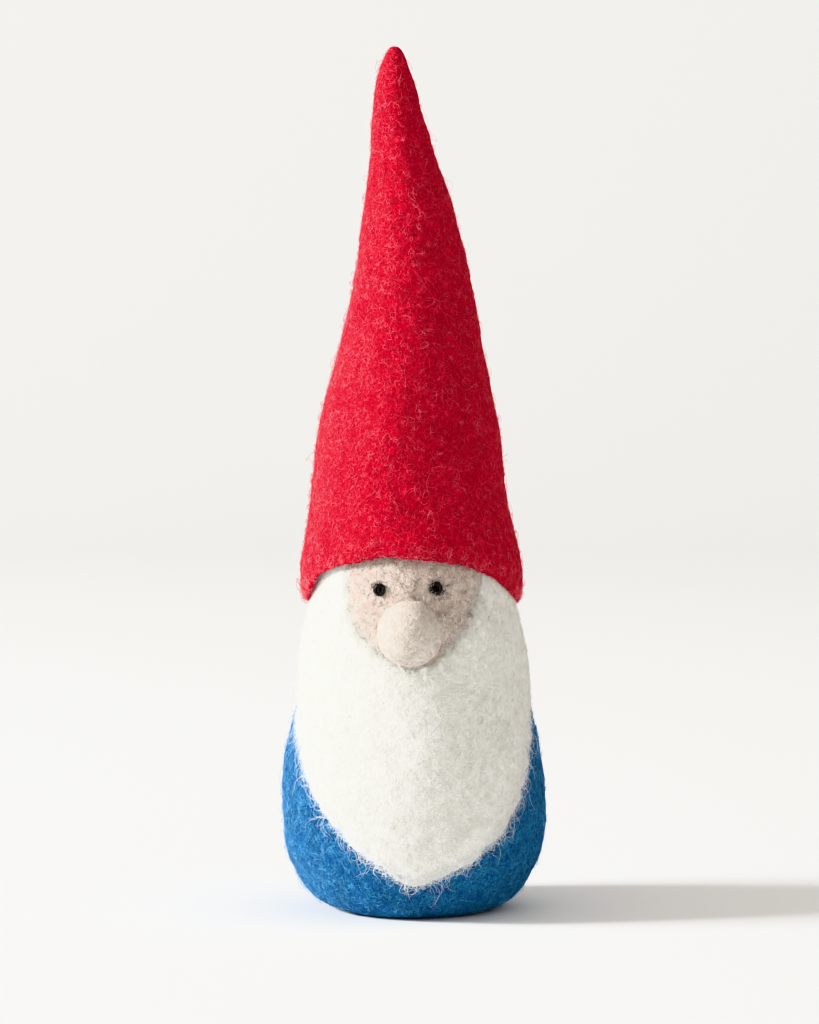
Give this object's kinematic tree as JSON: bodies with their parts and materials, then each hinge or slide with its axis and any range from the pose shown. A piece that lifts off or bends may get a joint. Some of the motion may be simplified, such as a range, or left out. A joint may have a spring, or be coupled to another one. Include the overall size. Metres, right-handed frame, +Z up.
{
  "type": "felted gnome figurine",
  "caption": "Wool tomte with an egg-shaped felt body, wrapped beard, ball nose and a tall pulled-on cone hat; stands on its flat underside as a holiday decoration",
  "frame": {"origin": "centre of the flat underside, on the surface the figure stands on", "axes": "+Z up through the hat's tip, -Y the way the face looks, +X the figure's left"},
  "size_m": [0.0818, 0.0936, 0.2665],
  "materials": {
    "blue_felt": "matte wool felt",
    "core": "carded wool",
    "patch_felt": "pressed felt",
    "thread": "sewing thread",
    "pouch_cloth": "cotton cloth",
    "grain": "dried grain",
    "beard_wool": "loosely felted wool",
    "face_felt": "melange felt",
    "nose_felt": "fine dense felt",
    "thread_light": "sewing thread",
    "eye_yarn": "twisted yarn",
    "red_felt": "matte wool felt"
  },
  "bodies": {
    "figure": {"body_felt": "blue_felt", "core_wool": "core", "base_patch": "patch_felt", "base_thread": "thread", "ballast_pouch": "pouch_cloth", "ballast_grain": "grain", "beard": "beard_wool", "face_patch": "face_felt", "nose": "nose_felt", "nose_thread": "thread_light", "eye_left": "eye_yarn", "eye_right": "eye_yarn", "eye_thread": "eye_yarn"},
    "filling": {"hat_filling": "core"},
    "hat": {"hat_felt": "red_felt"}
  },
  "joints": [
    {"name": "hat_lift", "type": "slide", "parent": "figure", "child": "filling", "axis": [0, 0, 1], "range_m": [0, 0.065]},
    {"name": "hat_turn", "type": "hinge", "parent": "filling", "child": "hat", "pos_m": [-0.0005, 0, 0.12], "axis": [0, 0, 1], "range_deg": [-25, 25]}
  ]
}
